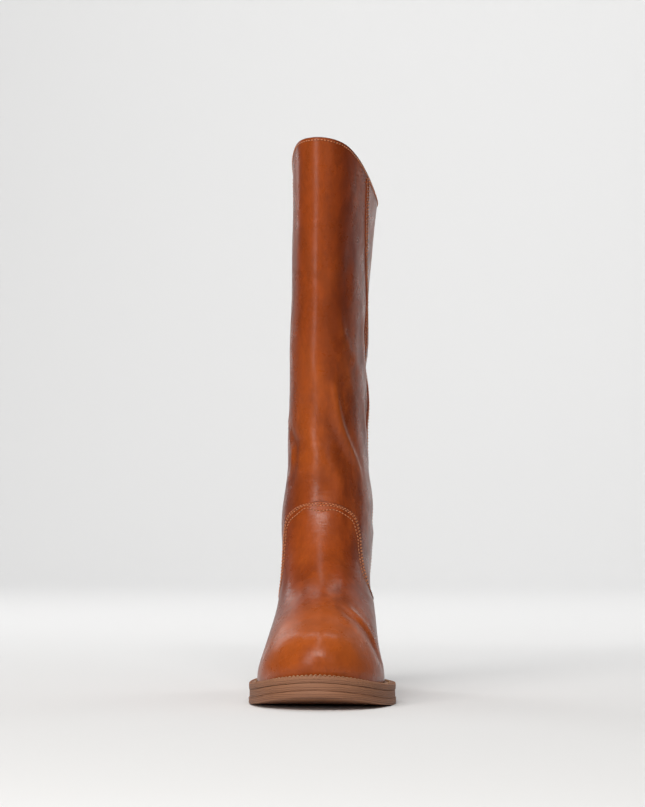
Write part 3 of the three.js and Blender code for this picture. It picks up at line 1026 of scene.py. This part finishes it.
# Even shares of darker tone and of painted light over a seam strip.
STRIP_DARK = 0.15
STRIP_PAINTED_LIGHT = 0.1


def seam_path(side):
    """Down the side of the boot from the collar to the welt."""
    surface = STORE["upper"]
    heights, places = zip(*reversed(SEAM_LINE))
    back = 0 if side > 0 else OUTER_SEAM_BACK
    own = [point for point in STORE["collar"] if point.x * side >= 0]
    start = min(own, key=lambda point: abs(point.y - places[-1] - back))
    made = []
    for height in np.linspace(start.z - 0.1 * MM, SEAM_LINE[-1][0], SEAM_STEPS):
        along = float(np.interp(height, heights, places)) + back
        place, _, _, _ = surface.ray_cast(Vector((side, along, height)), Vector((-side, 0, 0)))
        if place is not None and place.x * side > 0:
            made.append(place)
    return softened(made, 12)


def seam_strip(name, side):
    """A leather strip laid over one side seam."""
    surface = STORE["upper"]
    path = seam_path(side)
    half = sizes().seam_width / 2
    points = []
    for i, point in enumerate(path):
        before, after = path[max(i - 1, 0)], path[min(i + 1, len(path) - 1)]
        _, out, _, _ = surface.find_nearest(point)
        across = out.cross(after - before).normalized()
        for share, height in SEAM_PROFILE:
            place, _, _, _ = surface.find_nearest(point + across * share * half)
            points.append(place + out * height * MM)
    columns = len(SEAM_PROFILE)
    faces = []
    for row in range(len(path) - 1):
        for column in range(columns - 1):
            low = row * columns + column
            faces.append((low, low + 1, low + columns + 1, low + columns))
    mesh = bpy.data.meshes.new(name)
    mesh.from_pydata([tuple(p) for p in points], [], faces)
    piece = add_piece(name, mesh)
    face_out(piece)
    apply_modifier(piece, "SOLIDIFY", thickness=STRIP_WALL, offset=-1)
    apply_modifier(piece, "SUBSURF", levels=1, render_levels=1)
    bpy.ops.object.shade_smooth()
    count = len(piece.data.vertices)
    write_attribute(piece, "dark", np.full(count, STRIP_DARK))
    write_attribute(piece, "painted_light", np.full(count, STRIP_PAINTED_LIGHT))
    return piece, path


def face_out(piece):
    """Turns an open sheet so that its faces point out of the leg."""
    middle = piece.data.polygons[len(piece.data.polygons) // 2]
    if facing_out(np.array([middle.center]), np.array([middle.normal]))[0] < 0:
        bpy.ops.object.mode_set(mode="EDIT")
        bpy.ops.mesh.select_all(action="SELECT")
        bpy.ops.mesh.flip_normals()
        bpy.ops.object.mode_set(mode="OBJECT")


class BOOT_OT_seams(bpy.types.Operator):
    """Lay a piped leather strip over each side seam and stitch it down"""

    bl_idname = "boot.seams"
    bl_label = "Side seams"

    def execute(self, context):
        frames = []
        for label, side in SIDE_SIGNS.items():
            piece, path = seam_strip("seam_" + label, side)
            give(piece, "calf")
            finish_piece(piece, "tan_leather")
            surface = surface_of(piece)
            above = [point + STORE["upper"].find_nearest(point)[1] * 2 * MM for point in path]
            for share in SEAM_ROWS:
                row = inset_row(surface, above, sizes().seam_width / 2 * abs(share),
                                lambda point, out, s=share: out.y * s > 0)
                frames += row_frames(surface, row, sizes().stitch_pitch)
        stitch_row("seam_stitches", frames)
        return {"FINISHED"}


def stitch_row(name, frames):
    """Stitches of the upper, and low dark domes between them, painted shade in the stitch holes."""
    pitch = sizes().stitch_pitch
    width = sizes().thread_width
    thread = stitch_shape(pitch * STITCH_LENGTH_SHARE, width, width * STITCH_HEIGHT_SHARE)
    stitches = lay_copies(name, thread, frames)
    give(stitches, "thread")
    finish_piece(stitches, "tan_leather")
    # Painted shade: a low dark dome in each stitch hole.
    gaps = [(place + along.normalized() * pitch / 2 - out * HOLE_SINK, along, out)
            for place, along, out in frames]
    hole_shades = lay_copies(name + "_holes", stitch_shape(HOLE_WIDTH, HOLE_WIDTH, HOLE_HEIGHT), gaps)
    give(hole_shades, "edge")
    finish_piece(hole_shades, "tan_leather")


class BOOT_OT_upper_stitches(bpy.types.Operator):
    """Stitch the collar and the vamp's three rows"""

    bl_idname = "boot.upper_stitches"
    bl_label = "Upper stitches"

    def execute(self, context):
        collar = inset_row(STORE["upper"], STORE["collar"], sizes().collar_inset,
                           lambda point, side: side.z < 0, closed=True)
        frames = row_frames(STORE["upper"], collar, sizes().stitch_pitch, closed=True)
        stitch_row("collar_stitches", frames)
        frames = []
        for inset in VAMP_ROWS:
            row = inset_row(STORE["vamp"], STORE["vamp_edge"], inset * MM,
                            lambda point, side: side.dot(VAMP_MIDDLE - point) > 0)
            row = [p for p in softened(row, 12) if p.z > FEATHER_Z + 0.004]
            frames += row_frames(STORE["vamp"], row, sizes().stitch_pitch)
        stitch_row("vamp_stitches", frames)
        return {"FINISHED"}


# ---------------------------------------------------------------- sole

SOLE_LAYERS = {"welt": 2, "midsole": 2, "outsole": 0}  # levels of subdivision
HEEL_LIFT = 5.5  # mm from one groove of the heel block to the next
UNDERSIDE_STEPS = 60  # places along a layer where its underside's height is read
UNDERSIDE_REACH = 0.008  # and how far round each


def layer_heights(points, node):
    """Height in mm of each point over the layer's underside, which rises and falls along the sole."""
    solid = coordinates(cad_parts[node])
    steps = np.linspace(solid[:, 1].min(), solid[:, 1].max(), UNDERSIDE_STEPS)
    lows = []
    for step in steps:
        near = np.abs(solid[:, 1] - step) < UNDERSIDE_REACH
        lows.append(solid[near, 2].min() if near.any() else np.nan)
    lows = np.array(lows)
    known = ~np.isnan(lows)
    under = np.interp(points[:, 1], steps[known], lows[known])
    return (points[:, 2] - under) / MM


class BOOT_OT_sole(bpy.types.Operator):
    """Finish the welt, midsole, outsole and heel"""

    bl_idname = "boot.sole"
    bl_label = "Sole"

    def execute(self, context):
        for node, levels in SOLE_LAYERS.items():
            piece = merged_copy(node, node + "_finish")
            refine(piece, levels, SOLE_ANGLE, 0.45 * MM)
            write_attribute(piece, "layer_height", layer_heights(coordinates(piece), node))
            give(piece, "sole")
            finish_piece(piece, "sole_rubber", node)
        heel = merged_copy("heel", "heel_block")
        refine(heel, 1, SOLE_ANGLE, 0.5 * MM)
        height = coordinates(heel)[:, 2] / MM
        write_attribute(heel, "layer_height", np.mod(height, HEEL_LIFT))
        give(heel, "sole")
        finish_piece(heel, "sole_rubber", "heel")
        return {"FINISHED"}


NOTCH_INSET = 1.3 * MM  # a notch's middle, in from the welt's edge
NOTCH_DROP = 1.4 * MM  # and below it
NOTCH_LENGTH = 2.4 * MM
NOTCH_WIDTH_SHARE = 1.02  # of the welt pitch, so that notches touch
NOTCH_HEIGHT = 0.35 * MM
WELT_ROW_INSET = 4.6 * MM  # stitches, in from the welt's edge


def welt_edge():
    """The top outer edge of the welt as a closed line of points."""
    piece = merged_copy("welt", "outline_welt")
    loops = edge_loops(piece, lambda edge: is_sharp(edge, WALL_ANGLE))
    select_only(piece)
    bpy.ops.object.delete()
    outer = sorted(loops[:2], key=lambda loop: sum(p.z for p in loop) / len(loop))[-1]
    return softened(spread_along(outer, 1.5 * MM, closed=True), 3, closed=True)


def ring_frames(ring, middle):
    """Each point of a closed line, with the directions along it and level towards its middle."""
    for i, point in enumerate(ring):
        along = ring[(i + 1) % len(ring)] - ring[i - 1]
        inward = UP.cross(along).normalized()
        yield point, along, inward if inward.dot(middle - point) > 0 else -inward


class BOOT_OT_welt_edge(bpy.types.Operator):
    """Notch the welt's top edge all round and stitch it to the midsole"""

    bl_idname = "boot.welt_edge"
    bl_label = "Welt edge"

    def execute(self, context):
        edge = welt_edge()
        middle = sum(edge, Vector()) / len(edge)
        pitch = sizes().welt_pitch
        ring = spread_along(edge, pitch, closed=True)
        ridges = [(point + inward * NOTCH_INSET - UP * NOTCH_DROP, inward, UP)
                  for point, _, inward in ring_frames(ring, middle)]
        shape = stitch_shape(NOTCH_LENGTH, pitch * NOTCH_WIDTH_SHARE, NOTCH_HEIGHT, turns=10, rings=7)
        piece = lay_copies("welt_notches", shape, ridges)
        write_attribute(piece, "layer_height", np.full(len(piece.data.vertices), CLEAR_OF_LINES))
        give(piece, "sole")
        finish_piece(piece, "sole_rubber")
        row = [point + inward * WELT_ROW_INSET for point, _, inward in ring_frames(edge, middle)]
        ring = spread_along(row, pitch, closed=True)
        stitches = [(point + UP * 0.1 * MM, along, UP) for point, along, _ in ring_frames(ring, middle)]
        piece = lay_copies("welt_stitches", stitch_shape(pitch * 0.8, 0.9 * MM, 0.6 * MM), stitches)
        give(piece, "welt_thread")
        finish_piece(piece, "sole_rubber")
        return {"FINISHED"}


class BOOT_OT_insole(bpy.types.Operator):
    """Finish the insole"""

    bl_idname = "boot.insole"
    bl_label = "Insole"

    def execute(self, context):
        piece = merged_copy("insole", "insole_finish")
        refine(piece, 1, SOLE_ANGLE, 0.4 * MM)
        give(piece, "footbed")
        finish_piece(piece, "footbed", "insole")
        return {"FINISHED"}


# ---------------------------------------------------------------- studio

SWEEP_HALF_WIDTH = 1.7
SWEEP_FRONT = -2.2
SWEEP_BACK = 3.4
SWEEP_HEIGHT = 2.0
SWEEP_BEND = 1.6
AIM = Vector((0, -0.049, 0))  # the point on the floor that the camera's line passes over
SENSOR = 36.0
LENS = 148.0
SHIFT = (-0.0064, 0.0527)
ROOM_SEEN = 0.75  # strength added where the camera sees the room past the paper
ROOM_LIGHT = 0.12  # and its strength for the leather to mirror
BOOT_MIDDLE = (0, -0.05, 0.24)
Light = namedtuple("Light", "name place aim size watts tone")
LIGHTS = (
    Light("key_left", (-1.25, -2.15, 1.05), BOOT_MIDDLE, (0.8, 1.5), 23, "#FFFDFA"),
    Light("fill_right", (1.6, -1.9, 1.1), BOOT_MIDDLE, (1.0, 1.2), 3, "#FFFFFF"),
    Light("panel_left", (-1.0, 1.0, 0.9), BOOT_MIDDLE, (0.3, 1.0), 2.3, "#FFFFFF"),
    Light("panel_right", (1.0, 1.2, 0.9), BOOT_MIDDLE, (0.3, 1.0), 1.2, "#FFFFFF"),
    Light("front_top", (-0.05, -2.1, 1.9), (0, -0.2, 0), (1.8, 0.26), 43, "#FFFDFA"),
    Light("top_strip", (-0.1, -0.3, 2.0), (-0.1, -0.3, 0), (0.2, 2.2), 7, "#FFFFFF"),
    Light("backdrop", (0, 0.8, 2.4), (0, 3.1, 0.9), (2.6, 0.8), 59, "#FFFFFF"),
)


def hang(light):
    """A soft rectangle of light, which the camera doesn't see."""
    bpy.ops.object.light_add(type="AREA", location=light.place)
    lamp = bpy.context.active_object
    lamp.name = light.name
    lamp.data.shape = "RECTANGLE"
    lamp.data.size, lamp.data.size_y = light.size
    lamp.data.energy = light.watts
    lamp.data.color = linear(light.tone)[:3]
    lamp.visible_camera = False
    lamp.rotation_euler = (Vector(light.aim) - Vector(light.place)).to_track_quat("-Z", "Y").to_euler()


class BOOT_OT_studio(bpy.types.Operator):
    """Lay the floor and backdrop, hang the lights and set the camera"""

    bl_idname = "boot.studio"
    bl_label = "Studio"

    def execute(self, context):
        select_none()
        self.floor()
        self.lights()
        self.camera()
        return {"FINISHED"}

    def floor(self):
        bpy.ops.mesh.primitive_plane_add(size=2, location=(0, 0, 0))
        floor = bpy.context.active_object
        floor.name = "studio_sweep"
        bpy.ops.object.mode_set(mode="EDIT")
        bpy.ops.transform.resize(value=(SWEEP_HALF_WIDTH, (SWEEP_BACK - SWEEP_FRONT) / 2, 1))
        bpy.ops.transform.translate(value=(0, (SWEEP_BACK + SWEEP_FRONT) / 2, 0))
        bpy.ops.mesh.select_mode(type="EDGE")
        bpy.ops.mesh.select_all(action="DESELECT")
        bpy.ops.object.mode_set(mode="OBJECT")
        for edge in floor.data.edges:
            edge.select = all(floor.data.vertices[i].co.y > 0 for i in edge.vertices)
        bpy.ops.object.mode_set(mode="EDIT")
        bpy.ops.mesh.extrude_region_move(TRANSFORM_OT_translate={"value": (0, 0, SWEEP_HEIGHT)})
        bpy.ops.object.mode_set(mode="OBJECT")
        apply_modifier(floor, "BEVEL", width=SWEEP_BEND, segments=24)
        bpy.ops.object.shade_smooth()
        give(floor, "paper")

    def lights(self):
        world = bpy.data.worlds.new("studio_fill")
        world.use_nodes = True
        tree = world.node_tree
        background = tree.nodes["Background"]
        background.inputs["Color"].default_value = linear("#F2F2F2")
        seen = add_node(tree, "ShaderNodeLightPath").outputs["Is Camera Ray"]
        strength = maths(tree, "MULTIPLY_ADD", seen, ROOM_SEEN, ROOM_LIGHT)
        tree.links.new(strength, background.inputs["Strength"])
        bpy.context.scene.world = world
        for light in LIGHTS:
            hang(light)

    def camera(self):
        settings = bpy.context.scene.studio_settings
        back = Vector((math.sin(settings.camera_turn), -math.cos(settings.camera_turn), 0))
        place = AIM + back * settings.camera_distance
        place.z = settings.camera_height
        bpy.ops.object.camera_add(location=place)
        camera = bpy.context.active_object
        camera.name = "camera"
        camera.rotation_euler = (-back).to_track_quat("-Z", "Y").to_euler()
        camera.data.sensor_width = SENSOR
        camera.data.lens = LENS
        camera.data.shift_x, camera.data.shift_y = SHIFT
        bpy.context.scene.camera = camera
        bpy.context.scene.view_settings.view_transform = "Standard"


# ---------------------------------------------------------------- add-on

OPERATORS = (
    BOOT_OT_upper,
    BOOT_OT_vamp,
    BOOT_OT_seams,
    BOOT_OT_upper_stitches,
    BOOT_OT_sole,
    BOOT_OT_welt_edge,
    BOOT_OT_insole,
    BOOT_OT_studio,
)


class BOOT_PT_finish(bpy.types.Panel):
    """Lists the boot's sizes and colours, and the operators that make its pieces"""

    bl_label = "Knee-high boot"
    bl_idname = "BOOT_PT_finish"
    bl_space_type = "VIEW_3D"
    bl_region_type = "UI"
    bl_category = "Boot"

    def draw(self, context):
        for group in (context.scene.boot_sizes, context.scene.boot_colours, context.scene.studio_settings):
            for name in group.bl_rna.properties.keys():
                if name not in ("rna_type", "name"):
                    self.layout.prop(group, name)
        for operator in OPERATORS:
            self.layout.operator(operator.bl_idname)


GROUPS = (BootSizes, BootColours, StudioSettings)


def register():
    for made in (*GROUPS, *OPERATORS, BOOT_PT_finish):
        bpy.utils.register_class(made)
    bpy.types.Scene.boot_sizes = bpy.props.PointerProperty(type=BootSizes)
    bpy.types.Scene.boot_colours = bpy.props.PointerProperty(type=BootColours)
    bpy.types.Scene.studio_settings = bpy.props.PointerProperty(type=StudioSettings)


def unregister():
    del bpy.types.Scene.boot_sizes
    del bpy.types.Scene.boot_colours
    del bpy.types.Scene.studio_settings
    for made in (BOOT_PT_finish, *reversed(OPERATORS), *reversed(GROUPS)):
        bpy.utils.unregister_class(made)


def main():
    register()
    for operator in OPERATORS:
        group, name = operator.bl_idname.split(".")
        getattr(getattr(bpy.ops, group), name)()
    select_none()


if __name__ == "__main__":
    main()
